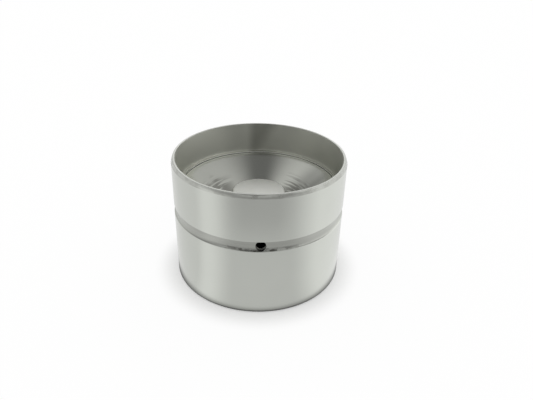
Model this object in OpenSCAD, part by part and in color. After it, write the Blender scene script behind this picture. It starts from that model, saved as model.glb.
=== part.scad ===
// Hydraulic bucket lifter for a direct-acting valve train, standing on its cam face with the open end up.
// Millimetres. The origin is the centre of the cam face, and +Z runs along the axis to the open rim.
// Heights that belong to the open end are given from the rim, and the rest from the crown.

/* [Bucket] */
// Outside diameter, which slides in the bore of the cylinder head
bucket_d = 35; // [32:0.5:38]
// Height from the cam face to the open rim
bucket_h = 26; // [25:0.25:29]
// Thickness of the crown behind the cam face
crown_t = 3; // [2.4:0.1:3.6]
// Edge radius of the cam face
crown_edge_r = 0.6; // [0.3:0.05:1]
// Fillet between the crown and the skirt, inside
root_r = 1.5; // [0.8:0.1:2]
// Wall of the skirt from the rim to the ledge
rim_wall = 0.75; // [0.7:0.05:1]
// Wall of the skirt below the ledge
skirt_wall = 1.25; // [1.15:0.05:1.6]
// Depth of the ledge below the rim
ledge_drop = 6.6; // [6:0.1:7.2]
// Width of the lead-in chamfer on the rim
rim_chamfer_w = 0.3; // [0.15:0.05:0.6]
// Height of the lead-in chamfer on the rim
rim_chamfer_h = 0.8; // [0.4:0.05:1.2]

/* [Oil feed] */
// Distance from the rim to the middle of the oil groove
groove_drop = 10.6; // [10.4:0.1:12]
// Width of the oil groove
groove_w = 2.1; // [1.8:0.1:2.4]
// Depth of the oil groove
groove_depth = 0.4; // [0.3:0.05:0.6]
// Corner radius at the bottom of the oil groove
groove_corner_r = 0.25; // [0.1:0.05:0.3]
// Diameter of the feed hole in the groove
feed_hole_d = 2; // [1.4:0.1:2]
// Width of the transfer recess on the inside of the crown
recess_w = 3.4; // [2:0.1:4]
// Reach of the transfer recess from the axis
recess_reach = 8; // [7:0.1:10]
// Depth of the transfer recess
recess_depth = 0.5; // [0.3:0.05:0.8]

/* [Guide sleeve] */
// Wall of the sleeve
sleeve_wall = 0.8; // [0.7:0.05:1]
// Slope of the cone below the horizontal
cone_angle = 28; // [22:1:32]
// Height of the collar that sits in the skirt
collar_h = 2.5; // [2.2:0.1:2.8]
// Width of the lip on top of the collar
lip_w = 0.2; // [0.15:0.05:0.5]
// Height of the lip's inner face
lip_h = 0.25; // [0.15:0.05:0.5]
// Corner radius between the lip and the cone
lip_corner_r = 0.12; // [0.08:0.02:0.3]
// Inside bend radius at the throat
throat_bend_r = 0.8; // [0.4:0.05:1.2]
// Lead-in chamfer at the foot of the collar
collar_chamfer = 0.3; // [0.1:0.05:0.5]

/* [Hydraulic element] */
// Outside diameter of the inner housing
housing_d = 11; // [10.4:0.1:11.8]
// Wall of the inner housing
housing_wall = 1.1; // [0.9:0.05:1.3]
// Thickness of the housing's closed end
housing_end_t = 1.7; // [1.3:0.1:2.2]
// Edge radius of the housing's closed end
housing_edge_r = 0.35; // [0.2:0.05:0.6]
// Chamfer on both edges of the housing's foot
foot_chamfer = 0.2; // [0.1:0.05:0.3]
// Depth of the housing's end face below the rim
end_drop = 8.3; // [7.8:0.1:8.8]
// Travel of the housing into the bucket
stroke = 2.5; // [1.5:0.1:2.8]
// Wire of the retaining ring
ring_wire = 0.6; // [0.4:0.05:0.8]
// Opening of the retaining ring, in degrees
ring_gap_angle = 30; // [10:5:60]
// Distance from the housing's foot to the middle of the ring
ring_rise = 1.1; // [0.9:0.05:1.5]

/* [Piston and check valve] */
// Wall of the piston around its oil store
piston_wall = 1.1; // [0.8:0.05:1.4]
// Thickness of the piston's end with the valve seat
piston_end_t = 1.9; // [1.6:0.1:2.4]
// Chamfer on the piston's outer edges
piston_chamfer = 0.2; // [0.1:0.05:0.25]
// Diameter of the passage through the piston's end
passage_d = 1.6; // [1.2:0.05:1.7]
// Diameter of the seat cone on the piston's end
seat_d = 2.8; // [2.6:0.05:3]
// Diameter of the check ball
ball_d = 2.5; // [2.45:0.05:2.8]
// Travel of the check ball off its seat
ball_lift = 0.25; // [0.1:0.05:0.3]
// Sheet of the ball cage
cage_t = 0.3; // [0.2:0.05:0.4]
// Inside bend radius of the ball cage
cage_bend_r = 0.15; // [0.1:0.05:0.2]
// Width of the windows in the ball cage
window_w = 1.2; // [0.8:0.1:1.4]
// Number of windows in the ball cage
window_count = 4; // [3:1:5]

/* [Springs] */
// Wire of the return spring
spring_wire = 0.55; // [0.45:0.05:0.6]
// Turns of the return spring, ends included
spring_turns = 4.5; // [3.5:0.25:4.75]
// Wire of the ball spring
ball_spring_wire = 0.18; // [0.14:0.01:0.2]
// Turns of the ball spring, ends included
ball_spring_turns = 2.6; // [2.2:0.1:2.8]
// Mean diameter of the ball spring
ball_spring_d = 1.4; // [1.2:0.1:1.6]
// Room between the ball on its seat and the roof of the cage
ball_spring_room = 0.75; // [0.7:0.05:1]

/* [Clearances] */
// Gap between the collar and the skirt, all round
collar_gap = 0.02; // [0.01:0.01:0.04]
// Step from the ledge down to the lip of the collar
lip_step = 0.05; // [0:0.05:0.3]
// Running gap between housing and sleeve, on the radius
guide_gap = 0.02; // [0.01:0.005:0.05]
// Leakage gap between piston and housing, on the radius
leak_gap = 0.015; // [0.01:0.005:0.03]
// Room left under the housing's foot at full travel
foot_gap = 0.4; // [0.3:0.05:0.8]
// Room left over the ball cage at full travel
roof_gap = 0.6; // [0.4:0.05:1]
// Gap between the ball and its seat
seat_gap = 0.02; // [0.01:0.01:0.04]
// Gap between the ball and the wall of the cage
cage_gap = 0.3; // [0.25:0.05:0.4]
// Gap at each end of a spring
spring_end_gap = 0.03; // [0.02:0.01:0.05]
// Gap between the return spring and the housing's bore
spring_side_gap = 0.4; // [0.3:0.05:0.5]
// Gap between the retaining ring and what it touches
ring_gap = 0.05; // [0.03:0.01:0.1]

/* [Hidden] */
$fn = 96;

// Steps of one rounded corner, and the shares of a coil's round section and turn
corner_steps = 8;
wire_sides = 8;
rings_per_turn = 20;
// Turns at each end of a spring that lie close to the next one, and their pitch in wires
dead_turns = 0.8;
dead_pitch = 1.06;
// How far a cutting tool runs past the face that it cuts
overcut = 1;

// Bucket
bucket_r = bucket_d / 2;
rim_bore_r = bucket_r - rim_wall;
skirt_bore_r = bucket_r - skirt_wall;
ledge_z = bucket_h - ledge_drop;
groove_z = bucket_h - groove_drop;

// Hydraulic element, from the rim down
housing_r = housing_d / 2;
housing_bore_r = housing_r - housing_wall;
housing_top_z = bucket_h - end_drop;
housing_roof_z = housing_top_z - housing_end_t;

// Hydraulic element, from the crown up
housing_foot_z = crown_t + foot_gap + stroke;
ring_z = housing_foot_z + ring_rise;
ring_groove_r = ring_wire / 2 + ring_gap;
sleeve_foot_z = ring_z + ring_wire / 2 + ring_gap;

// Check valve, measured from the piston's end face. The seat is a cone of 45 degrees.
ball_r = ball_d / 2;
ball_rise = (ball_r + seat_gap) * sqrt(2) - seat_d / 2;
cage_roof_rise = ball_rise + ball_r + ball_spring_room;
cage_h = cage_roof_rise + cage_t;
cage_bore_r = ball_r + cage_gap;
piston_r = housing_bore_r - leak_gap;
piston_end_z = housing_roof_z - stroke - roof_gap - cage_h;
ball_z = piston_end_z + ball_rise;

// Springs
spring_r = housing_bore_r - spring_side_gap - spring_wire / 2;
spring_foot_z = piston_end_z + cage_t + spring_end_gap;
spring_head_z = housing_roof_z - spring_end_gap;
cage_flange_r = spring_r + spring_wire / 2;
ball_spring_inner_r = (ball_spring_d - ball_spring_wire) / 2;
ball_spring_foot_z = ball_z + sqrt(pow(ball_r, 2) - pow(ball_spring_inner_r, 2)) + spring_end_gap;
ball_spring_head_z = piston_end_z + cage_roof_rise - spring_end_gap;

// Points of an arc around c in a profile, from angle a0 to angle a1
function arc(c, r, a0, a1) =
    [for (i = [0:corner_steps]) let (a = a0 + (a1 - a0) * i / corner_steps) c + r * [cos(a), sin(a)]];

// The bucket: crown, skirt with oil groove, chamfered rim and the ledge that the guide sleeve sits under
module bucket_shell() {
    outside = concat(
        [[0, 0]],
        arc([bucket_r - crown_edge_r, crown_edge_r], crown_edge_r, -90, 0),
        [[bucket_r, bucket_h - rim_chamfer_h], [bucket_r - rim_chamfer_w, bucket_h]]);
    inside = concat(
        [[rim_bore_r, bucket_h], [rim_bore_r, ledge_z], [skirt_bore_r, ledge_z]],
        arc([skirt_bore_r - root_r, crown_t + root_r], root_r, 0, -90),
        [[0, crown_t]]);
    color("silver")
    difference() {
        rotate_extrude() polygon(concat(outside, inside));
        oil_groove();
        translate([0, 0, groove_z]) rotate([90, 0, 0]) cylinder(d = feed_hole_d, h = bucket_r + overcut);
        transfer_recess();
    }
}

// Ring cut round the skirt, with rounded corners at its bottom
module oil_groove() {
    corner_r = min(groove_corner_r, groove_depth);
    corner_x = bucket_r - groove_depth + corner_r;
    corner_h = groove_w / 2 - corner_r;
    rotate_extrude()
        translate([0, groove_z])
        polygon(concat(
            arc([corner_x, corner_h], corner_r, 90, 180),
            arc([corner_x, -corner_h], corner_r, 180, 270),
            [[bucket_r + overcut, -groove_w / 2], [bucket_r + overcut, groove_w / 2]]));
}

// Slot with a round end inside the crown, which leads oil past the foot of the piston
module transfer_recess() {
    translate([0, 0, crown_t - recess_depth]) {
        for (x = [0, recess_reach - recess_w / 2])
            translate([x, 0, 0]) cylinder(d = recess_w, h = recess_depth + overcut);
        translate([0, -recess_w / 2, 0])
            cube([recess_reach - recess_w / 2, recess_w, recess_depth + overcut]);
    }
}

// Formed funnel: collar with a lip in the skirt, cone, throat and the spout that guides the housing
module guide_sleeve() {
    collar_r = skirt_bore_r - collar_gap;
    collar_bore_r = collar_r - sleeve_wall;
    lip_r = collar_r - lip_w;
    lip_z = ledge_z - lip_step;
    collar_foot_z = ledge_z - collar_h;
    spout_r = housing_r + guide_gap;
    throat_r = throat_bend_r + sleeve_wall;
    lip_corner = [lip_r - lip_corner_r, lip_z - lip_h];
    throat_x = spout_r + throat_r;
    throat_drop = (lip_corner_r + throat_r + (lip_corner[0] - throat_x) * sin(cone_angle)) / cos(cone_angle);
    throat = [throat_x, lip_corner[1] - throat_drop];
    cone_normal = 90 + cone_angle;
    under_start = throat + throat_bend_r * [cos(cone_normal), sin(cone_normal)];
    under_z = under_start[1] + (collar_bore_r - under_start[0]) * tan(cone_angle);
    upper = concat(
        [[collar_r - collar_chamfer, collar_foot_z], [collar_r, collar_foot_z + collar_chamfer],
         [collar_r, lip_z], [lip_r, lip_z]],
        arc(lip_corner, lip_corner_r, 0, cone_angle - 90),
        arc(throat, throat_r, cone_normal, 180),
        [[spout_r, sleeve_foot_z]]);
    lower = concat(
        [[spout_r + sleeve_wall, sleeve_foot_z]],
        arc(throat, throat_bend_r, 180, cone_normal),
        [[collar_bore_r, under_z], [collar_bore_r, collar_foot_z]]);
    color("gainsboro")
    rotate_extrude() polygon(concat(upper, lower));
}

// Cylinder of the hydraulic element: closed end up, with a groove for the retaining ring near its foot
module inner_housing() {
    color("lightgray")
    difference() {
        rotate_extrude() polygon(concat(
            [[0, housing_roof_z], [housing_bore_r, housing_roof_z],
             [housing_bore_r, housing_foot_z + foot_chamfer], [housing_bore_r + foot_chamfer, housing_foot_z],
             [housing_r - foot_chamfer, housing_foot_z], [housing_r, housing_foot_z + foot_chamfer]],
            arc([housing_r - housing_edge_r, housing_top_z - housing_edge_r], housing_edge_r, 0, 90),
            [[0, housing_top_z]]));
        rotate_extrude() translate([housing_r, ring_z]) circle(r = ring_groove_r);
    }
}

// Open wire ring round the foot of the housing, which stops against the end of the guide sleeve
module retaining_ring() {
    color("dimgray")
    rotate([0, 0, ring_gap_angle / 2])
        rotate_extrude(angle = 360 - ring_gap_angle)
        translate([housing_r, ring_z]) circle(d = ring_wire);
}

// Hollow piston that stands on the crown, with the passage and the seat of the check valve in its upper end
module piston() {
    store_r = piston_r - piston_wall;
    store_roof_z = piston_end_z - piston_end_t;
    passage_r = passage_d / 2;
    seat_r = seat_d / 2;
    color("darkgray")
    rotate_extrude() polygon([
        [store_r, crown_t], [piston_r - piston_chamfer, crown_t], [piston_r, crown_t + piston_chamfer],
        [piston_r, piston_end_z - piston_chamfer], [piston_r - piston_chamfer, piston_end_z],
        [seat_r, piston_end_z], [passage_r, piston_end_z - (seat_r - passage_r)],
        [passage_r, store_roof_z], [store_r, store_roof_z]]);
}

// Pressed cap over the check ball: flange on the piston, wall with windows, roof with a hole
module ball_cage() {
    roof_z = piston_end_z + cage_roof_rise;
    flange_z = piston_end_z + cage_t;
    cage_r = cage_bore_r + cage_t;
    roof_hole_r = ball_spring_inner_r;
    outer_bend_r = cage_bend_r + cage_t;
    foot_bend = [cage_r + cage_bend_r, flange_z + cage_bend_r];
    roof_bend = [cage_bore_r - cage_bend_r, roof_z - cage_bend_r];
    window_h = roof_bend[1] - foot_bend[1];
    color("lightsteelblue")
    difference() {
        rotate_extrude() polygon(concat(
            arc(foot_bend, outer_bend_r, 180, 270),
            [[cage_flange_r, piston_end_z], [cage_flange_r, flange_z]],
            arc(foot_bend, cage_bend_r, 270, 180),
            arc(roof_bend, outer_bend_r, 0, 90),
            [[roof_hole_r, roof_z + cage_t], [roof_hole_r, roof_z]],
            arc(roof_bend, cage_bend_r, 90, 0)));
        for (i = [0:window_count - 1])
            rotate([0, 0, 360 * i / window_count])
            translate([0, -window_w / 2, foot_bend[1]])
            cube([cage_r + overcut, window_w, window_h]);
    }
}

// Ball on its seat
module check_ball() {
    color("whitesmoke")
    translate([0, 0, ball_z]) sphere(d = ball_d);
}

// Rise of a coil's centre line after t turns, with close turns at both ends
function coil_rise(t, turns, height, wire) =
    let (pitch = dead_pitch * wire, step = dead_turns * pitch, open_turns = turns - 2 * dead_turns)
    t < dead_turns ? t * pitch
    : t > turns - dead_turns ? height - (turns - t) * pitch
    : step + (t - dead_turns) / open_turns * (height - 2 * step);

// Coil spring of round wire between two heights, as one swept tube
module coil_spring(mean_r, wire, foot_z, head_z, turns) {
    height = head_z - foot_z - wire;
    last = round(turns * rings_per_turn);
    lean = height / turns / (360 * mean_r * PI / 180);
    points = [for (i = [0:last]) let (t = turns * i / last, a = 360 * t,
            out = [cos(a), sin(a), 0], up = [sin(a) * lean, -cos(a) * lean, 1] / sqrt(1 + pow(lean, 2)),
            middle = mean_r * out + [0, 0, foot_z + wire / 2 + coil_rise(t, turns, height, wire)])
        for (k = [0:wire_sides - 1]) let (b = 360 * k / wire_sides)
            middle + wire / 2 * (cos(b) * out + sin(b) * up)];
    sides = [for (i = [0:last - 1]) for (k = [0:wire_sides - 1]) let (m = (k + 1) % wire_sides)
        [i * wire_sides + k, i * wire_sides + m, (i + 1) * wire_sides + m, (i + 1) * wire_sides + k]];
    start = [for (k = [0:wire_sides - 1]) wire_sides - 1 - k];
    end = [for (k = [0:wire_sides - 1]) last * wire_sides + k];
    polyhedron(points, concat([start], sides, [end]), convexity = 10);
}

// Small spring between the ball and the roof of the cage
module ball_spring() {
    color("gold")
    coil_spring(ball_spring_d / 2, ball_spring_wire, ball_spring_foot_z, ball_spring_head_z,
                ball_spring_turns);
}

// Spring between the flange of the cage and the closed end of the housing
module return_spring() {
    color("slategray")
    coil_spring(spring_r, spring_wire, spring_foot_z, spring_head_z, spring_turns);
}

bucket_shell();
guide_sleeve();
inner_housing();
retaining_ring();
piston();
ball_cage();
check_ball();
ball_spring();
return_spring();
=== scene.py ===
"""Looks of a hydraulic bucket lifter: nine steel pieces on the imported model, a table and soft light.

The lifter stands on its cam face with the open end up. Metres, +Z along the axis, feed hole towards -Y.
Sizes below are millimetres. They are those of the part's own source, apart from broken edges, the small
corners of recess and windows, and a softer lower corner in the oil groove.
"""
import math

import bmesh
import bpy
from mathutils import Matrix, Vector


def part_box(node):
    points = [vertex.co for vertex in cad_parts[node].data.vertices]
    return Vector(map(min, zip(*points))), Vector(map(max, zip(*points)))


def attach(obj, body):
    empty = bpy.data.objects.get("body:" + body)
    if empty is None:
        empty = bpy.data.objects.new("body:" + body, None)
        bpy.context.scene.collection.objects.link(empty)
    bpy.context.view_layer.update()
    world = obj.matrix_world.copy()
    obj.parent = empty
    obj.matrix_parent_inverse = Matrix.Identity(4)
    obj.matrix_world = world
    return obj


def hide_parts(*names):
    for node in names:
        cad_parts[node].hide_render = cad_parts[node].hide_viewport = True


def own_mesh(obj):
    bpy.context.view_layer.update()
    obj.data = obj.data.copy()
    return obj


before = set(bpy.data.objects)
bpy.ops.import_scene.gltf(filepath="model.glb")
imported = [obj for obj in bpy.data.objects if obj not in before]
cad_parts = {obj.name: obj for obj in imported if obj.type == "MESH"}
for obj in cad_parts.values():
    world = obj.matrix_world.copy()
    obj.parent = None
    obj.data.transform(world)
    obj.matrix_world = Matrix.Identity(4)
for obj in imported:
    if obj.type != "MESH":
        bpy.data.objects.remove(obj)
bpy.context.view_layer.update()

MM = 0.001

# Bucket
low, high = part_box("bucket_shell")
BUCKET_R = 17.5
BUCKET_H = (high.z - low.z) / MM
CROWN_T = 3.0
CROWN_EDGE_R = 0.6
ROOT_R = 1.5
RIM_WALL = 0.75
RIM_BORE_R = BUCKET_R - RIM_WALL
SKIRT_WALL = 1.25
SKIRT_BORE_R = BUCKET_R - SKIRT_WALL
LEDGE_FROM_RIM = 6.6
LEDGE_Z = BUCKET_H - LEDGE_FROM_RIM
RIM_CHAMFER_W = 0.3
RIM_CHAMFER_H = 0.8
GROOVE_FROM_RIM = 10.6
GROOVE_Z = BUCKET_H - GROOVE_FROM_RIM
GROOVE_W = 2.1
GROOVE_DEPTH = 0.4
GROOVE_FLOOR_R = BUCKET_R - GROOVE_DEPTH
GROOVE_CORNER_R = 0.25
GROOVE_FOOT_R = 0.8
FEED_HOLE_R = 1.0
DRILL_LENGTH = 4
RECESS_W = 3.4
RECESS_REACH = 8.0
RECESS_DEPTH = 0.5
RECESS_CORNER_R = 0.12
MILL_LENGTH = 2

# Guide sleeve
SLEEVE_WALL = 0.8
CONE_ANGLE = 28.0
COLLAR_GAP = 0.02
COLLAR_R = SKIRT_BORE_R - COLLAR_GAP
COLLAR_H = 2.5
COLLAR_FOOT_Z = LEDGE_Z - COLLAR_H
COLLAR_CHAMFER = 0.3
COLLAR_BORE_R = COLLAR_R - SLEEVE_WALL
LIP_T = 0.2
LIP_R = COLLAR_R - LIP_T
LIP_GAP = 0.05
LIP_Z = LEDGE_Z - LIP_GAP
LIP_H = 0.25
LIP_CORNER_R = 0.12
THROAT_BEND_R = 0.8
SLEEVE_FOOT_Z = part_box("guide_sleeve")[0].z / MM

# Hydraulic element
HOUSING_R = 5.5
SPOUT_GAP = 0.02
SPOUT_R = HOUSING_R + SPOUT_GAP
HOUSING_WALL = 1.1
HOUSING_BORE_R = HOUSING_R - HOUSING_WALL
HOUSING_EDGE_R = 0.35
HOUSING_TOP_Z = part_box("inner_housing")[1].z / MM
HOUSING_FOOT_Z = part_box("inner_housing")[0].z / MM
HOUSING_ROOF_T = 1.7
HOUSING_ROOF_Z = HOUSING_TOP_Z - HOUSING_ROOF_T
FOOT_CHAMFER = 0.2
RING_WIRE = 0.6
RING_FROM_FOOT = 1.1
RING_Z = HOUSING_FOOT_Z + RING_FROM_FOOT
RING_GROOVE_GAP = 0.05
RING_GROOVE_R = RING_WIRE / 2 + RING_GROOVE_GAP
RING_GAP_ANGLE = 30.0

# Piston and check valve
PISTON_GAP = 0.015
PISTON_R = HOUSING_BORE_R - PISTON_GAP
PISTON_END_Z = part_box("piston")[1].z / MM
PISTON_CHAMFER = 0.2
PISTON_WALL = 1.1
STORE_R = PISTON_R - PISTON_WALL
PISTON_END_T = 1.9
STORE_ROOF_Z = PISTON_END_Z - PISTON_END_T
PASSAGE_R = 0.8
SEAT_R = 1.4
BALL_R = 1.25
BALL_Z = (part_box("check_ball")[0].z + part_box("check_ball")[1].z) / 2 / MM
BALL_ROOM = 0.3
CAGE_T = 0.3
CAGE_BEND_R = 0.15
CAGE_BORE_R = BALL_R + BALL_ROOM
CAGE_TOP_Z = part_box("ball_cage")[1].z / MM
WINDOW_W = 1.2
WINDOW_CORNER_R = 0.2
WINDOW_CLEAR = 0.02

# Springs, and how far they close up
SPRING_WIRE = 0.55
SPRING_TURNS = 4.5
SPRING_ROOM = 0.4
SPRING_MEAN_R = HOUSING_BORE_R - SPRING_ROOM - SPRING_WIRE / 2
BALL_SPRING_WIRE = 0.18
BALL_SPRING_TURNS = 2.6
BALL_SPRING_MEAN_R = 0.7
END_TURNS = 0.8

# Broken edges
BUCKET_BREAK = 0.08
SLEEVE_BREAK = 0.06
RING_BREAK = 0.06
LAPPED_BREAK = 0.03
CAGE_BREAK = 0.02

# Steps round the axis, round a cutter, round one corner, and along and round the wire of the ring
ROUND = 288
CUTTER_ROUND = 64
CORNER = 8
RING_STEPS = 160
RING_SIDES = 24

# Points closer than these are one, after modelling and after a cut
MERGE = 0.002
CUT_MERGE = 0.001

# Degrees up to which two faces are shaded as one
SMOOTH_ANGLE = 32


# Modelling, as at the bench: start a blank, turn it, cut it, break its edges, put it in place

def begin(name, add_primitive, **size):
    """Starts a piece from a primitive, with nothing else selected, and opens it for editing."""
    if bpy.context.mode != "OBJECT":
        bpy.ops.object.mode_set(mode="OBJECT")
    bpy.ops.object.select_all(action="DESELECT")
    add_primitive(**size)
    piece = bpy.context.object
    piece.name = name
    piece.data.name = name
    bpy.ops.object.mode_set(mode="EDIT")
    bpy.ops.mesh.select_mode(type="VERT")
    bpy.ops.mesh.select_all(action="SELECT")
    return piece


def close_up(piece):
    """Merges what lies on itself, turns all faces outwards and leaves edit mode."""
    bpy.ops.mesh.select_all(action="SELECT")
    bpy.ops.mesh.remove_doubles(threshold=MERGE * MM)
    bpy.ops.mesh.normals_make_consistent(inside=False)
    bpy.ops.object.mode_set(mode="OBJECT")
    return piece


def move(x, y, z):
    """Moves the selection."""
    bpy.ops.transform.translate(value=(x * MM, y * MM, z * MM))


def turn(degrees, axis="Z"):
    """Turns the selection about the origin, anticlockwise seen from the end of the axis."""
    bpy.ops.transform.rotate(value=-math.radians(degrees), orient_axis=axis, center_override=(0, 0, 0))


def sweep(degrees, steps):
    """Spins the selection about the lifter's axis, anticlockwise seen from above."""
    bpy.ops.mesh.spin(steps=steps, angle=-math.radians(degrees), center=(0, 0, 0), axis=(0, 0, 1))


def pick(kind, test):
    """Selects the points or the edges of the open mesh whose ends pass the test."""
    mesh = bpy.context.object.data
    bpy.ops.mesh.select_all(action="DESELECT")
    bpy.ops.mesh.select_mode(type=kind)
    shape = bmesh.from_edit_mesh(mesh)
    if kind == "VERT":
        items = [(point, [point]) for point in shape.verts]
    else:
        items = [(edge, edge.verts) for edge in shape.edges]
    for item, ends in items:
        if test(*(end.co / MM for end in ends)):
            item.select_set(True)
    shape.select_flush_mode()
    bmesh.update_edit_mesh(mesh)


def arc(middle, radius, start, end, steps=CORNER):
    """Points of an arc in a half section, from one angle to another in degrees."""
    angles = [math.radians(start + (end - start) * i / steps) for i in range(steps + 1)]
    return [(middle[0] + radius * math.cos(a), middle[1] + radius * math.sin(a)) for a in angles]


def turned(name, section):
    """Draws a half section by extruding one point round it, and spins it about the axis."""
    piece = begin(name, bpy.ops.mesh.primitive_plane_add, size=MM)
    bpy.ops.mesh.merge(type="CENTER")
    move(section[0][0], 0, section[0][1])
    for here, there in zip(section, section[1:]):
        step = ((there[0] - here[0]) * MM, 0, (there[1] - here[1]) * MM)
        bpy.ops.mesh.extrude_region_move(TRANSFORM_OT_translate={"value": step})
    bpy.ops.mesh.select_all(action="SELECT")
    sweep(360, ROUND)
    return close_up(piece)


def only(piece):
    """Makes a piece the one selected and active object."""
    bpy.ops.object.select_all(action="DESELECT")
    piece.select_set(True)
    bpy.context.view_layer.objects.active = piece


def modify(piece, kind, **settings):
    """Adds one modifier, sets it and applies it."""
    only(piece)
    modifier = piece.modifiers.new(kind.lower(), kind)
    for name, value in settings.items():
        setattr(modifier, name, value)
    bpy.ops.object.modifier_apply(modifier=modifier.name)


def cut(piece, cutter):
    """Cuts the cutter's shape out of a piece, clears it away and merges what the cut left double."""
    modify(piece, "BOOLEAN", operation="DIFFERENCE", solver="EXACT", object=cutter)
    bpy.data.objects.remove(cutter)
    bpy.ops.object.mode_set(mode="EDIT")
    bpy.ops.mesh.select_all(action="SELECT")
    bpy.ops.mesh.remove_doubles(threshold=CUT_MERGE * MM)
    bpy.ops.mesh.dissolve_degenerate(threshold=CUT_MERGE * MM)
    bpy.ops.object.mode_set(mode="OBJECT")


def break_edges(piece, width, sharp_angle=30):
    """Rounds every sharp edge of a piece a little, as a deburred edge is."""
    modify(piece, "BEVEL", limit_method="ANGLE", angle_limit=math.radians(sharp_angle),
           width=width * MM, segments=3, use_clamp_overlap=True)


def place(piece, node, body, finish):
    """Smooths a piece, gives it its finish and lets it stand for its CAD node on that node's body."""
    only(piece)
    bpy.ops.object.shade_smooth_by_angle(angle=math.radians(SMOOTH_ANGLE))
    modify(piece, "WEIGHTED_NORMAL", mode="FACE_AREA", weight=60, keep_sharp=True)
    piece.data.materials.clear()
    piece.data.materials.append(finish)
    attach(piece, body)
    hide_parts(node)


# The nine pieces

def make_bucket():
    """Crown, ground skirt with its oil groove, chamfered rim, and the ledge above the sleeve."""
    corner_x = GROOVE_FLOOR_R + GROOVE_CORNER_R
    corner_h = GROOVE_W / 2 - GROOVE_CORNER_R
    foot_x = GROOVE_FLOOR_R + GROOVE_FOOT_R
    foot_slope = math.acos(1 - GROOVE_DEPTH / GROOVE_FOOT_R)
    foot_h = GROOVE_W / 2 - GROOVE_FOOT_R * math.sin(foot_slope)
    foot_start = 180 + math.degrees(foot_slope)
    section = [(0, 0)]
    section += arc((BUCKET_R - CROWN_EDGE_R, CROWN_EDGE_R), CROWN_EDGE_R, -90, 0)
    section += arc((foot_x, GROOVE_Z - foot_h), GROOVE_FOOT_R, foot_start, 180, 2 * CORNER)
    section += arc((corner_x, GROOVE_Z + corner_h), GROOVE_CORNER_R, 180, 90)
    section += [(BUCKET_R, GROOVE_Z + GROOVE_W / 2), (BUCKET_R, BUCKET_H - RIM_CHAMFER_H),
                (BUCKET_R - RIM_CHAMFER_W, BUCKET_H), (RIM_BORE_R, BUCKET_H),
                (RIM_BORE_R, LEDGE_Z), (SKIRT_BORE_R, LEDGE_Z)]
    section += arc((SKIRT_BORE_R - ROOT_R, CROWN_T + ROOT_R), ROOT_R, 0, -90)
    section += [(0, CROWN_T)]
    bucket = turned("bucket_body", section)
    break_edges(bucket, BUCKET_BREAK)

    drill = begin("feed_drill", bpy.ops.mesh.primitive_cylinder_add, vertices=CUTTER_ROUND,
                  radius=FEED_HOLE_R * MM, depth=DRILL_LENGTH * MM)
    turn(90, "X")
    move(0, -BUCKET_R, GROOVE_Z)
    close_up(drill)
    cut(bucket, drill)

    # Half of the mill's points move out, which makes its round end a slot
    floor_z = CROWN_T - RECESS_DEPTH
    slot_mill = begin("recess_mill", bpy.ops.mesh.primitive_cylinder_add, vertices=CUTTER_ROUND,
                      radius=RECESS_W / 2 * MM, depth=MILL_LENGTH * MM)
    move(0, 0, floor_z + MILL_LENGTH / 2)
    pick("VERT", lambda point: point.x > MERGE)
    move(RECESS_REACH - RECESS_W / 2, 0, 0)
    pick("EDGE", lambda one, other: max(one.z, other.z) < floor_z + MILL_LENGTH / 2)
    bpy.ops.mesh.bevel(offset=RECESS_CORNER_R * MM, segments=3, affect="EDGES")
    close_up(slot_mill)
    cut(bucket, slot_mill)
    return bucket


def make_sleeve():
    """Formed funnel: collar with a raised lip, cone, throat, and the spout that guides the element."""
    throat_r = THROAT_BEND_R + SLEEVE_WALL
    lip_corner = (LIP_R - LIP_CORNER_R, LIP_Z - LIP_H)
    throat_x = SPOUT_R + throat_r
    slope = math.radians(CONE_ANGLE)
    run = (lip_corner[0] - throat_x) * math.sin(slope)
    throat_drop = (LIP_CORNER_R + throat_r + run) / math.cos(slope)
    throat = (throat_x, lip_corner[1] - throat_drop)
    square = 90 + CONE_ANGLE
    under_x = throat[0] + THROAT_BEND_R * math.cos(math.radians(square))
    under_z = throat[1] + THROAT_BEND_R * math.sin(math.radians(square))
    meet_z = under_z + (COLLAR_BORE_R - under_x) * math.tan(slope)
    section = [(COLLAR_R - COLLAR_CHAMFER, COLLAR_FOOT_Z), (COLLAR_R, COLLAR_FOOT_Z + COLLAR_CHAMFER),
               (COLLAR_R, LIP_Z), (LIP_R, LIP_Z)]
    section += arc(lip_corner, LIP_CORNER_R, 0, CONE_ANGLE - 90)
    section += arc(throat, throat_r, square, 180, 2 * CORNER)
    section += [(SPOUT_R, SLEEVE_FOOT_Z), (SPOUT_R + SLEEVE_WALL, SLEEVE_FOOT_Z)]
    section += arc(throat, THROAT_BEND_R, 180, square, 2 * CORNER)
    section += [(COLLAR_BORE_R, meet_z), (COLLAR_BORE_R, COLLAR_FOOT_Z), section[0]]
    sleeve = turned("guide_funnel", section)
    break_edges(sleeve, SLEEVE_BREAK)
    return sleeve


def make_housing():
    """Closed cylinder of the element, with a lapped end face and a round groove for the wire ring."""
    edge = (HOUSING_R - HOUSING_EDGE_R, HOUSING_TOP_Z - HOUSING_EDGE_R)
    section = [(0, HOUSING_ROOF_Z), (HOUSING_BORE_R, HOUSING_ROOF_Z),
               (HOUSING_BORE_R, HOUSING_FOOT_Z + FOOT_CHAMFER),
               (HOUSING_BORE_R + FOOT_CHAMFER, HOUSING_FOOT_Z),
               (HOUSING_R - FOOT_CHAMFER, HOUSING_FOOT_Z), (HOUSING_R, HOUSING_FOOT_Z + FOOT_CHAMFER)]
    section += arc((HOUSING_R, RING_Z), RING_GROOVE_R, 270, 90, 2 * CORNER)
    section += arc(edge, HOUSING_EDGE_R, 0, 90)
    section += [(0, HOUSING_TOP_Z)]
    housing = turned("element_cylinder", section)
    break_edges(housing, LAPPED_BREAK)
    return housing


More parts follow.
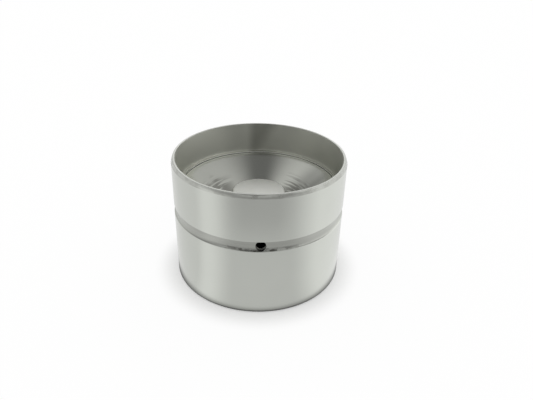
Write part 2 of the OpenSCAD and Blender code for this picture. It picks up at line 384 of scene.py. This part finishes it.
def make_ring():
    """Open ring of round wire, with its two cut ends broken round the edge."""
    ring = begin("wire_ring", bpy.ops.mesh.primitive_circle_add, vertices=RING_SIDES,
                 radius=RING_WIRE / 2 * MM)
    turn(90, "X")
    move(HOUSING_R, 0, RING_Z)
    turn(RING_GAP_ANGLE / 2)
    sweep(360 - RING_GAP_ANGLE, RING_STEPS)
    bpy.ops.mesh.select_all(action="SELECT")
    bpy.ops.mesh.fill_holes(sides=0)
    close_up(ring)
    break_edges(ring, RING_BREAK, sharp_angle=60)
    return ring


def make_piston():
    """Hollow piston, with the oil passage and the seat of the check valve in its upper end."""
    section = [(STORE_R, CROWN_T), (PISTON_R - PISTON_CHAMFER, CROWN_T),
               (PISTON_R, CROWN_T + PISTON_CHAMFER), (PISTON_R, PISTON_END_Z - PISTON_CHAMFER),
               (PISTON_R - PISTON_CHAMFER, PISTON_END_Z), (SEAT_R, PISTON_END_Z),
               (PASSAGE_R, PISTON_END_Z - (SEAT_R - PASSAGE_R)), (PASSAGE_R, STORE_ROOF_Z),
               (STORE_R, STORE_ROOF_Z), (STORE_R, CROWN_T)]
    piston = turned("hollow_piston", section)
    break_edges(piston, LAPPED_BREAK)
    return piston


def make_cage():
    """Pressed cap over the ball: flange, wall with four windows, and a roof with a hole."""
    flange_z = PISTON_END_Z + CAGE_T
    flange_r = SPRING_MEAN_R + SPRING_WIRE / 2
    cage_r = CAGE_BORE_R + CAGE_T
    roof_z = CAGE_TOP_Z - CAGE_T
    roof_hole_r = BALL_SPRING_MEAN_R - BALL_SPRING_WIRE / 2
    foot_bend = (cage_r + CAGE_BEND_R, flange_z + CAGE_BEND_R)
    roof_bend = (CAGE_BORE_R - CAGE_BEND_R, roof_z - CAGE_BEND_R)
    section = arc(foot_bend, CAGE_BEND_R + CAGE_T, 180, 270)
    section += [(flange_r, PISTON_END_Z), (flange_r, flange_z)]
    section += arc(foot_bend, CAGE_BEND_R, 270, 180)
    section += arc(roof_bend, CAGE_BEND_R + CAGE_T, 0, 90)
    section += [(roof_hole_r, CAGE_TOP_Z), (roof_hole_r, roof_z)]
    section += arc(roof_bend, CAGE_BEND_R, 90, 0)
    section += [section[0]]
    cage = turned("ball_cap", section)
    break_edges(cage, CAGE_BREAK)

    # Each punch goes right through and makes two windows
    window_h = roof_bend[1] - foot_bend[1] - WINDOW_CLEAR
    for degrees in (0, 90):
        punch = begin("window_punch", bpy.ops.mesh.primitive_cube_add, size=MM)
        bpy.ops.transform.resize(value=(2 * cage_r + 1, WINDOW_W, window_h))
        move(0, 0, (roof_bend[1] + foot_bend[1]) / 2)
        pick("EDGE", lambda one, other: abs(one.x - other.x) > cage_r)
        bpy.ops.mesh.bevel(offset=WINDOW_CORNER_R * MM, segments=4, affect="EDGES")
        bpy.ops.mesh.select_all(action="SELECT")
        turn(degrees)
        close_up(punch)
        cut(cage, punch)
    return cage


def make_ball():
    """Polished ball: a cube cut into many squares and cast round."""
    ball = begin("valve_ball", bpy.ops.mesh.primitive_cube_add, size=2 * BALL_R * MM)
    bpy.ops.mesh.subdivide(number_cuts=23)
    close_up(ball)
    modify(ball, "CAST", cast_type="SPHERE", factor=1, use_radius_as_size=False, size=BALL_R * MM)
    only(ball)
    bpy.ops.object.mode_set(mode="EDIT")
    bpy.ops.mesh.select_all(action="SELECT")
    move(0, 0, BALL_Z)
    bpy.ops.object.mode_set(mode="OBJECT")
    return ball


def make_coil(name, wire, mean_r, turns, foot_z, head_z, sides, steps_per_turn):
    """Winds a round wire into a spring with close end turns, then grinds both ends flat."""
    ground_off = 0.3 * wire
    close_pitch = 1.06 * wire
    rise = head_z - foot_z - wire + 2 * ground_off
    open_pitch = (rise - 2 * END_TURNS * close_pitch) / (turns - 2 * END_TURNS)
    coil = begin(name, bpy.ops.mesh.primitive_circle_add, vertices=sides, radius=wire / 2 * MM)
    turn(90, "X")
    move(mean_r, 0, foot_z + wire / 2 - ground_off)
    steps = round(turns * steps_per_turn)
    for i in range(steps):
        wound = turns * (i + 0.5) / steps
        at_end = wound < END_TURNS or wound > turns - END_TURNS
        climb = (close_pitch if at_end else open_pitch) * turns / steps
        sweep(360 * turns / steps, 1)
        move(0, 0, climb)
    bpy.ops.mesh.select_all(action="SELECT")
    bpy.ops.mesh.fill_holes(sides=0)
    close_up(coil)
    only(coil)
    bpy.ops.object.mode_set(mode="EDIT")
    for height, side in ((foot_z, -1), (head_z, 1)):
        bpy.ops.mesh.select_all(action="SELECT")
        bpy.ops.mesh.bisect(plane_co=(0, 0, height * MM), plane_no=(0, 0, side), use_fill=True,
                            clear_outer=True, threshold=1e-7)
    return close_up(coil)


# Finishes: one wrapped socket for sums, and one method for every other node

class Socket:
    """A socket in a node tree. Sums on it add Math nodes to the same tree."""

    def __init__(self, tree, socket=None):
        self.tree = tree
        self.socket = socket

    def node(self, kind, settings=None, inputs=None, output=0):
        """Adds a node of any kind: its settings first, then the values or links of its sockets."""
        made = self.tree.nodes.new(kind)
        for name, value in (settings or {}).items():
            setattr(made, name, value)
        for name, value in (inputs or {}).items():
            if isinstance(value, Socket):
                self.tree.links.new(value.socket, made.inputs[name])
            else:
                made.inputs[name].default_value = value
        return Socket(self.tree, made.outputs[output]) if len(made.outputs) else made

    def sum(self, operation, *values):
        """A Math node of any operation."""
        return self.node("ShaderNodeMath", {"operation": operation}, dict(enumerate(values)))

    def __add__(self, other):
        return self.sum("ADD", self, other)

    def __radd__(self, other):
        return self.sum("ADD", other, self)

    def __sub__(self, other):
        return self.sum("SUBTRACT", self, other)

    def __rsub__(self, other):
        return self.sum("SUBTRACT", other, self)

    def __mul__(self, other):
        return self.sum("MULTIPLY", self, other)

    def __rmul__(self, other):
        return self.sum("MULTIPLY", other, self)

    def __truediv__(self, other):
        return self.sum("DIVIDE", self, other)

    def __rtruediv__(self, other):
        return self.sum("DIVIDE", other, self)

    def __pow__(self, other):
        return self.sum("POWER", self, other)

    def __rpow__(self, other):
        return self.sum("POWER", other, self)

    def __abs__(self):
        return self.sum("ABSOLUTE", self)

    def rises(self, low, high):
        """0 below the low value, 1 above the high one, and smooth between."""
        return self.node("ShaderNodeMapRange", {"interpolation_type": "SMOOTHSTEP"},
                         {"Value": self, "From Min": low, "From Max": high})

    def falls(self, low, high):
        """1 below the low value, 0 above the high one, and smooth between."""
        return 1 - self.rises(low, high)

    def between(self, first, second):
        """The first number where this share is 0, the second where it is 1."""
        return first + self * (second - first)

    def blend(self, first, second):
        """The first colour where this share is 0, the second where it is 1."""
        return self.node("ShaderNodeMix", {"data_type": "RGBA"}, {0: self, 6: first, 7: second}, 2)

    def grey(self):
        """This level as a grey colour."""
        return self.vector(self, self, self)

    def vector(self, x, y, z):
        """A vector of three numbers."""
        return self.node("ShaderNodeCombineXYZ", None, {0: x, 1: y, 2: z})

    def parts(self):
        """The three numbers of this vector."""
        x = self.node("ShaderNodeSeparateXYZ", None, {0: self})
        return [Socket(self.tree, part) for part in x.socket.node.outputs]

    def millimetres(self):
        """This place in metres as one in millimetres."""
        return self.node("ShaderNodeVectorMath", {"operation": "SCALE"}, {0: self, "Scale": 1 / MM})

    def grain(self, scale=1.0, detail=2.0, roughness=0.5):
        """Soft noise from 0 to 1 at this place."""
        return self.node("ShaderNodeTexNoise", {"noise_dimensions": "3D"},
                         {"Vector": self, "Scale": scale, "Detail": detail, "Roughness": roughness})


def places(block, kind):
    """Empties the node tree of a material or a world, and gives its coordinates of one kind."""
    block.use_nodes = True
    block.node_tree.nodes.clear()
    return Socket(block.node_tree).node("ShaderNodeTexCoord", output=kind)


def from_axis(x, y, least):
    """Distance from the lifter's axis, kept above zero."""
    return (x * x + y * y + least * least) ** 0.5


def colour(red, green, blue):
    """A colour for a socket."""
    return (red, green, blue, 1)


# Steels, each with its cloudier shade, what is on them, and painted shade, reflections and a highlight
GROUND, GROUND_CLOUD = colour(0.585, 0.602, 0.560), colour(0.560, 0.574, 0.535)
FORMED, FORMED_CLOUD = colour(0.590, 0.602, 0.555), colour(0.560, 0.570, 0.520)
LAPPED, LAPPED_CLOUD = colour(0.765, 0.772, 0.735), colour(0.720, 0.727, 0.685)
DRAWN, DRAWN_SKIN = colour(0.47, 0.47, 0.455), colour(0.34, 0.34, 0.335)
POLISHED, POLISHED_HAZE = colour(0.74, 0.74, 0.73), colour(0.69, 0.69, 0.68)
RUBBED = colour(0.64, 0.65, 0.63)
BORED = colour(0.610, 0.616, 0.562)
BORE_DARK_REFLECTION = colour(0.30, 0.30, 0.27)
GROOVE_SHADE = colour(0.31, 0.314, 0.29)
CORNER_SHADE = colour(0.075, 0.072, 0.062)
STAINED = colour(0.36, 0.362, 0.335)
RIM_EDGE = colour(0.42, 0.425, 0.40)
RIPPLE_CREST = colour(0.62, 0.63, 0.60)
ARC_REFLECTION = colour(0.19, 0.188, 0.168)
LIP_HIGHLIGHT = colour(0.78, 0.79, 0.75)
SPECKED = colour(0.47, 0.475, 0.44)
SIDE_SHADE = colour(0.16, 0.158, 0.142)
WHITE = colour(1, 1, 1)
TABLE_PAINT = colour(0.93, 0.93, 0.925)


class Finish:
    """A metal finish on Object coordinates in millimetres, with the distance from the lifter's axis."""

    def __init__(self, name):
        self.material = bpy.data.materials.new(name)
        self.point = places(self.material, "Object").millimetres()
        self.x, self.y, self.z = self.point.parts()
        self.r = from_axis(self.x, self.y, least=0.01)
        self.cos = self.x / self.r
        self.sin = self.y / self.r

    def lines(self, per_mm, around, detail=2.0):
        """Tool marks that run round the axis, so many to a millimetre of wall or face."""
        along = (self.z + self.r) * per_mm
        return self.point.vector(self.cos * around, self.sin * around, along).grain(detail=detail)

    def rubs(self, seed):
        """A few long faint rubs that run slightly up the wall."""
        travel = self.point.sum("ARCTAN2", self.y, self.x) * self.r
        streak = self.point.vector(travel * 0.22 + self.z * 0.9 + seed, self.z * 3.6 - travel * 0.5,
                                   self.r * 0.4 + seed)
        return streak.grain(detail=3, roughness=0.6).rises(0.62, 0.78)

    def use(self, base, rough, height, depth, anisotropic=0.0, rotation=0.0):
        """Joins colour, roughness and the marks, with their depth in millimetres, to the steel."""
        bump = self.point.node("ShaderNodeBump", None,
                               {"Strength": 1.0, "Distance": depth * MM, "Height": height})
        steel = self.point.node("ShaderNodeBsdfPrincipled", None, {
            "Base Color": base, "Roughness": rough, "Metallic": 1.0, "Normal": bump,
            "Anisotropic": anisotropic, "Anisotropic Rotation": rotation})
        self.point.node("ShaderNodeOutputMaterial", None, {"Surface": steel})
        return self.material


def ground_finish():
    """Bucket: ground skirt and cam face, duller turned groove with painted shade, darker bore with a
    painted dark reflection down its back.
    """
    f = Finish("ground_steel")
    lines = f.lines(per_mm=7, around=2.5)
    fine = f.lines(per_mm=26, around=1.2, detail=1)
    cloud = f.point.grain(scale=0.16, detail=3, roughness=0.55)
    rubs = f.rubs(seed=3.0)

    # Bore with its ledge, groove, rim and chamfer
    bore = f.r.falls(RIM_BORE_R + 0.02, RIM_BORE_R + 0.1) * f.z.rises(CROWN_T - 0.6, CROWN_T - 0.5)
    ledge = bore * f.z.falls(LEDGE_Z + 0.02, LEDGE_Z + 0.08) * f.z.rises(LEDGE_Z - 0.2, LEDGE_Z - 0.1)
    groove = abs(f.z - GROOVE_Z).falls(GROOVE_W / 2 - 0.02, GROOVE_W / 2 + 0.03)
    groove = groove * f.r.falls(BUCKET_R - 0.1, BUCKET_R - 0.03)
    groove = groove * f.r.rises(SKIRT_BORE_R + 0.2, SKIRT_BORE_R + 0.3)
    rim = f.z.rises(BUCKET_H - 0.06, BUCKET_H - 0.01)
    chamfer_r = BUCKET_R - RIM_CHAMFER_W
    chamfer_z = BUCKET_H - RIM_CHAMFER_H
    chamfer = f.z.rises(chamfer_z, chamfer_z + 0.1) * f.r.rises(chamfer_r - 0.02, chamfer_r + 0.04)

    # Stains on the chamfer
    stain = f.point.vector(f.x * 0.45, f.y * 0.45, f.z * 0.9).grain(detail=3, roughness=0.65)
    stain = stain.rises(0.4, 0.62)

    # Painted dark reflection down the back of the bore, and painted shade in the groove, most of it in
    # front
    back_reflection = bore * f.sin.rises(0.5, 0.8) * f.cos.rises(-0.16, -0.02)
    back_reflection = back_reflection * (f.cos - 0.04 * (f.z - BUCKET_H)).falls(0.12, 0.36)
    groove_shade = 0.16 + 0.34 * f.y.falls(-14, -6) + 0.3 * lines

    # Painted shade in blots in the lower corner of the groove, beside the feed hole
    beside_hole = abs(f.x).falls(2.0, 9.5) * f.y.falls(-8.0, 0.0)
    low_corner = f.z.falls(GROOVE_Z - 0.75, GROOVE_Z - 0.35)
    blots = f.point.vector(f.x * 0.75, f.y * 0.3, f.z * 1.6 + 2.0).grain(detail=3, roughness=0.6)
    corner_shade = groove * beside_hole * low_corner * blots.rises(0.42, 0.62)
    corner_shade = corner_shade * f.r.rises(GROOVE_FLOOR_R - 0.1, GROOVE_FLOOR_R - 0.02)

    base = cloud.blend(GROUND, GROUND_CLOUD)
    base = (rubs * 0.25).blend(base, RUBBED)
    base = (bore * 0.9).blend(base, BORED)
    base = (back_reflection * 0.7).blend(base, BORE_DARK_REFLECTION)
    # Painted shade in the groove
    base = (groove * groove_shade).blend(base, GROOVE_SHADE)
    base = (corner_shade * 0.85).blend(base, CORNER_SHADE)
    base = (chamfer * (0.3 + 0.4 * stain)).blend(base, STAINED)
    base = (rim * 0.7).blend(base, RIM_EDGE)

    rough = 0.15 + (0.04 * (lines - 0.5) - 0.02 * rubs) * (1 - bore) + 0.04 * (cloud - 0.5)
    rough = rough + bore * 0.3 - ledge * 0.25 + groove * 0.1 + corner_shade * 0.2
    rough = rough + chamfer * stain * 0.12 + rim * 0.12
    height = (lines * 0.5 + fine * 0.4 + rubs * 0.25) * (1 - bore)
    return f.use(base, rough, height, depth=0.00022, anisotropic=0.8, rotation=0.25)


def formed_finish(name, rings_per_mm, haze, reflection_r, lip_r, lip_z):
    """Formed bright: faint rings, a soft ripple, a dull lip with a painted highlight, and painted dark
    reflections in arcs round the middle.
    """
    f = Finish(name)
    rings = f.lines(rings_per_mm, around=2.0)
    ripple = f.point.grain(scale=0.7)
    cloud = f.point.grain(scale=0.22, detail=3, roughness=0.6)
    # The lip is rougher, and its paler colour is a painted highlight
    lip = f.r.rises(lip_r - 0.05, lip_r) * f.z.rises(lip_z - 0.1, lip_z - 0.04)

    # Painted dark reflections in arcs at both sides, with an uneven reach
    out = f.r / reflection_r
    arcs = f.point.vector(f.cos * 1.6, f.sin * 1.6, f.r * 1.9).grain() + 0.15 * out.falls(0.72, 0.95)
    reach = f.point.vector(f.cos * 3, f.sin * 3, 4.0).grain(detail=1)
    arc_reflection = (out - 0.4 * (reach - 0.5)).falls(0.9, 1.12) * abs(f.cos).rises(0.5, 0.8)
    arc_reflection = arc_reflection * arcs.rises(0.46, 0.56)

    base = cloud.blend(FORMED, FORMED_CLOUD)
    base = (ripple.rises(0.6, 0.8) * 0.3).blend(base, RIPPLE_CREST)
    base = (arc_reflection * 0.7).blend(base, ARC_REFLECTION)
    base = (lip * 0.8).blend(base, LIP_HIGHLIGHT)
    rough = haze + 0.05 * (rings - 0.5) + 0.05 * (cloud - 0.5) + 0.06 * arc_reflection + 0.3 * lip
    return f.use(base, rough, rings * 0.35 + ripple * 0.65, depth=0.0012)


def lapped_finish(name, haze, end_z):
    """Hardened and lapped: a satin end face with very fine crossing scratches, and sides darkened by
    painted shade.
    """
    f = Finish(name)
    # Painted shade on the sides, just below the end face
    side_shade = f.z.falls(end_z - 0.32, end_z - 0.1)
    first = f.point.vector(f.x * 9 + f.y * 5, f.y * 0.8 - f.x * 0.5, f.z * 5).grain()
    second = f.point.vector(f.x * 0.7 + f.y * 0.5, f.y * 9 - f.x * 4, f.z * 5 + 7).grain()
    cloud = f.point.grain(scale=0.35, detail=3, roughness=0.55)
    speck = f.point.grain(scale=2.6).rises(0.66, 0.76)
    base = cloud.blend(LAPPED, LAPPED_CLOUD)
    base = (speck * 0.25).blend(base, SPECKED)
    base = (side_shade * (0.5 + 0.25 * cloud)).blend(base, SIDE_SHADE)
    rough = haze + 0.1 * (first - 0.5) + 0.1 * (second - 0.5) + 0.06 * (cloud - 0.5)
    return f.use(base, rough, first * 0.5 + second * 0.5, depth=0.0006)


def wire_finish():
    """Drawn spring wire, dark grey, with a slightly uneven skin."""
    f = Finish("spring_wire")
    skin = f.point.grain(scale=3.2, detail=3, roughness=0.6)
    draw = f.point.vector(f.cos * 3, f.sin * 3, f.r * 22 + f.z * 3).grain()
    base = skin.blend(DRAWN, DRAWN_SKIN)
    rough = 0.3 + 0.12 * (skin - 0.5) + 0.08 * (draw - 0.5)
    return f.use(base, rough, draw * 0.7 + skin * 0.3, depth=0.0008)


def ball_finish():
    """Polished ball, with the faintest haze from lapping."""
    f = Finish("polished_ball")
    haze = f.point.grain(scale=1.8, detail=3, roughness=0.6)
    pits = f.point.grain(scale=9, detail=1).rises(0.7, 0.8)
    base = haze.blend(POLISHED, POLISHED_HAZE)
    rough = 0.07 + 0.05 * (haze - 0.5) + 0.08 * pits
    return f.use(base, rough, pits, depth=0.0003)


# Put the lifter together

ground = ground_finish()
formed_sleeve = formed_finish("formed_sleeve", rings_per_mm=5, haze=0.1, reflection_r=11.4,
                              lip_r=LIP_R, lip_z=LIP_Z)
formed_cage = formed_finish("formed_cage", rings_per_mm=11, haze=0.2, reflection_r=1.9,
                            lip_r=SPRING_MEAN_R, lip_z=PISTON_END_Z)
lapped_housing = lapped_finish("lapped_housing", haze=0.47, end_z=HOUSING_TOP_Z)
lapped_piston = lapped_finish("lapped_piston", haze=0.3, end_z=PISTON_END_Z)
wire = wire_finish()
polished = ball_finish()

place(make_bucket(), "bucket_shell", "bucket", ground)
place(make_sleeve(), "guide_sleeve", "bucket", formed_sleeve)
place(make_housing(), "inner_housing", "element", lapped_housing)
place(make_ring(), "retaining_ring", "element", wire)
place(make_piston(), "piston", "bucket", lapped_piston)
place(make_cage(), "ball_cage", "bucket", formed_cage)
place(make_ball(), "check_ball", "ball", polished)

spring_foot, spring_head = (corner.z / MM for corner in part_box("return_spring"))
ball_spring_foot, ball_spring_head = (corner.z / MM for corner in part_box("ball_spring"))
ball_coil = make_coil("ball_coil", BALL_SPRING_WIRE, BALL_SPRING_MEAN_R, BALL_SPRING_TURNS,
                      ball_spring_foot, ball_spring_head, sides=12, steps_per_turn=32)
place(ball_coil, "ball_spring", "bucket", wire)
return_coil = make_coil("return_coil", SPRING_WIRE, SPRING_MEAN_R, SPRING_TURNS,
                        spring_foot, spring_head, sides=16, steps_per_turn=44)
place(return_coil, "return_spring", "bucket", wire)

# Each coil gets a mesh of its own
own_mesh(return_coil)
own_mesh(ball_coil)


# Table, light and camera

TABLE_SIZE = 4

# Light that falls on the scene, and what the steel mirrors of table and tent before their details
TENT_LEVEL = 1.04
TABLE_LEVEL = 0.755
ROOF_LEVEL = 0.64
SEAM_LEVEL = 0.69
WALL_LEVEL = 0.85
BACK_LEVEL = 1.3
FRONT_LEVEL = 0.42
BELOW_LEVEL = 0.8

# Camera: degrees, millimetres and pixels of the picture
LOOK_DOWN = 29.28
ROLL = -1.35
ROUND_TO_LEFT = -2.7
LOOK_AT = (1.62, 0, 15.4)
DISTANCE = 104.95
SENSOR_W = 36
FOCAL_LENGTH_PX = 499.55
IMAGE_W_PX = 533


def make_table():
    """Wide white table. What the steel mirrors of it is greyer in front and brighter at the sides."""
    table = begin("table", bpy.ops.mesh.primitive_plane_add, size=TABLE_SIZE)
    bpy.ops.object.mode_set(mode="OBJECT")
    material = bpy.data.materials.new("white_table")
    metres = places(material, "Object")
    x, y = metres.millimetres().parts()[:2]
    r = from_axis(x, y, least=0.1)

    # Degrees from straight in front, spread out close to the lifter
    bearing = metres.sum("ARCTAN2", x, 0 - y) * (180 / math.pi)
    facing = bearing * (1 + (r / 14) ** -1.3)
    left = facing.falls(-69, -31) * 0.27 - facing.falls(-92, -73) * 0.16
    right = facing.rises(38, 88) * 0.31 - facing.rises(107, 180) * 0.2
    ahead = abs(facing).falls(17, 59)
    level = TABLE_LEVEL + left + right
    level = level * (1 - 0.25 * ahead * r.rises(33, 56)) * (1 - 0.35 * ahead * r.rises(70, 160))
    # Painted shadow in what the steel mirrors, darkest right under the lifter's edge
    level = level * r.rises(17.2, 19.4).between(0.08, 1)

    # White to the camera apart from the lifter's own shade, and that level in the steel
    in_steel = metres.node("ShaderNodeLightPath", output="Is Glossy Ray")
    in_camera = metres.node("ShaderNodeLightPath", output="Is Camera Ray")
    paint = metres.node("ShaderNodeBsdfDiffuse", None, {"Color": TABLE_PAINT})
    white = metres.node("ShaderNodeEmission", None, {"Color": WHITE})
    mirrored = metres.node("ShaderNodeEmission", None, {"Color": level.grey()})
    whiteness = in_camera * r.rises(17.8, 23).between(0.25, 0.92)
    seen = metres.node("ShaderNodeMixShader", None, {0: whiteness, 1: paint, 2: white})
    both = metres.node("ShaderNodeMixShader", None, {0: in_steel, 1: seen, 2: mirrored})
    metres.node("ShaderNodeOutputMaterial", None, {"Surface": both})
    table.data.materials.append(material)


def make_light():
    """White tent. The steel mirrors its dark roof seam, a soft lamp at the right and a grey front."""
    world = bpy.data.worlds.new("white_tent")
    bpy.context.scene.world = world
    towards = places(world, "Generated")
    x, y, z = towards.parts()

    # Roof, with a dark seam from front to back over the lifter
    roof = ROOF_LEVEL - 0.36 * x.falls(-0.3, 0) * z.falls(0.68, 0.88)
    seam = SEAM_LEVEL - 0.5 * x.rises(-0.37, -0.07) * x.falls(0.04, 0.42) - 0.08 * x.rises(0.15, 0.4)
    low_left = x.falls(-0.42, -0.3) * z.falls(0.7, 0.86)
    over = y.rises(-0.4, -0.1) * y.falls(0.62, 0.72)
    level = over.between(roof, seam * (1 - 0.4 * low_left))

    # Side walls with the lamp at the right, and a bright back
    lamp = z.rises(0.18, 0.33)
    wall = WALL_LEVEL + (0.2 + 0.8 * lamp) * x.rises(-0.3, 0.3)
    level = (z.falls(0.35, 0.6) * abs(x).rises(0.35, 0.75)).between(level, wall)
    level = (y.rises(0.6, 0.8) * abs(x).falls(0.2, 0.42)).between(level, BACK_LEVEL)

    # Open front, with a darker gap left of the middle and the lamp's edge at the right
    front = FRONT_LEVEL + 0.2 * abs(x).falls(0.25, 0.6) + 0.24 * abs(x).rises(0.55, 0.95)
    gap = x.rises(-0.42, -0.2) * x.falls(0, 0.2)
    front = front + z.rises(0.3, 0.5) * (0.35 * abs(x).rises(0.3, 0.5) - 0.5 * gap)
    front = front + 0.55 * lamp * x.rises(0.53, 0.78)
    level = y.falls(-0.6, -0.1).between(level, front)
    level = z.falls(-0.2, -0.05).between(level, BELOW_LEVEL)

    in_steel = towards.node("ShaderNodeLightPath", output="Is Glossy Ray")
    in_camera = towards.node("ShaderNodeLightPath", output="Is Camera Ray")
    shown = in_camera.between(in_steel.between(TENT_LEVEL, level), 1)
    light = towards.node("ShaderNodeBackground", None, {"Color": shown.grey(), "Strength": 1.0})
    towards.node("ShaderNodeOutputWorld", None, {"Surface": light})


def make_camera():
    """Looks down 29 degrees from in front, a little to the left of the feed hole."""
    down = math.radians(LOOK_DOWN)
    roll = math.radians(ROLL)
    ahead = Vector((0, math.cos(down), -math.sin(down)))
    right = Vector((1, 0, 0))
    up = Vector((0, math.sin(down), math.cos(down)))
    tilted_right = math.cos(roll) * right - math.sin(roll) * up
    tilted_up = math.sin(roll) * right + math.cos(roll) * up
    stand = Vector(LOOK_AT) * MM - ahead * DISTANCE * MM
    camera = bpy.data.cameras.new("camera")
    camera.lens = SENSOR_W * FOCAL_LENGTH_PX / IMAGE_W_PX
    camera.clip_start = 2 * MM
    holder = bpy.data.objects.new("camera", camera)
    bpy.context.scene.collection.objects.link(holder)
    pose = Matrix.Identity(4)
    for column, axis in enumerate((tilted_right, tilted_up, -ahead, stand)):
        for row in range(3):
            pose[row][column] = axis[row]
    holder.matrix_world = Matrix.Rotation(math.radians(ROUND_TO_LEFT), 4, "Z") @ pose
    bpy.context.scene.camera = holder


make_table()
make_light()
make_camera()
bpy.context.scene.view_settings.view_transform = "Standard"
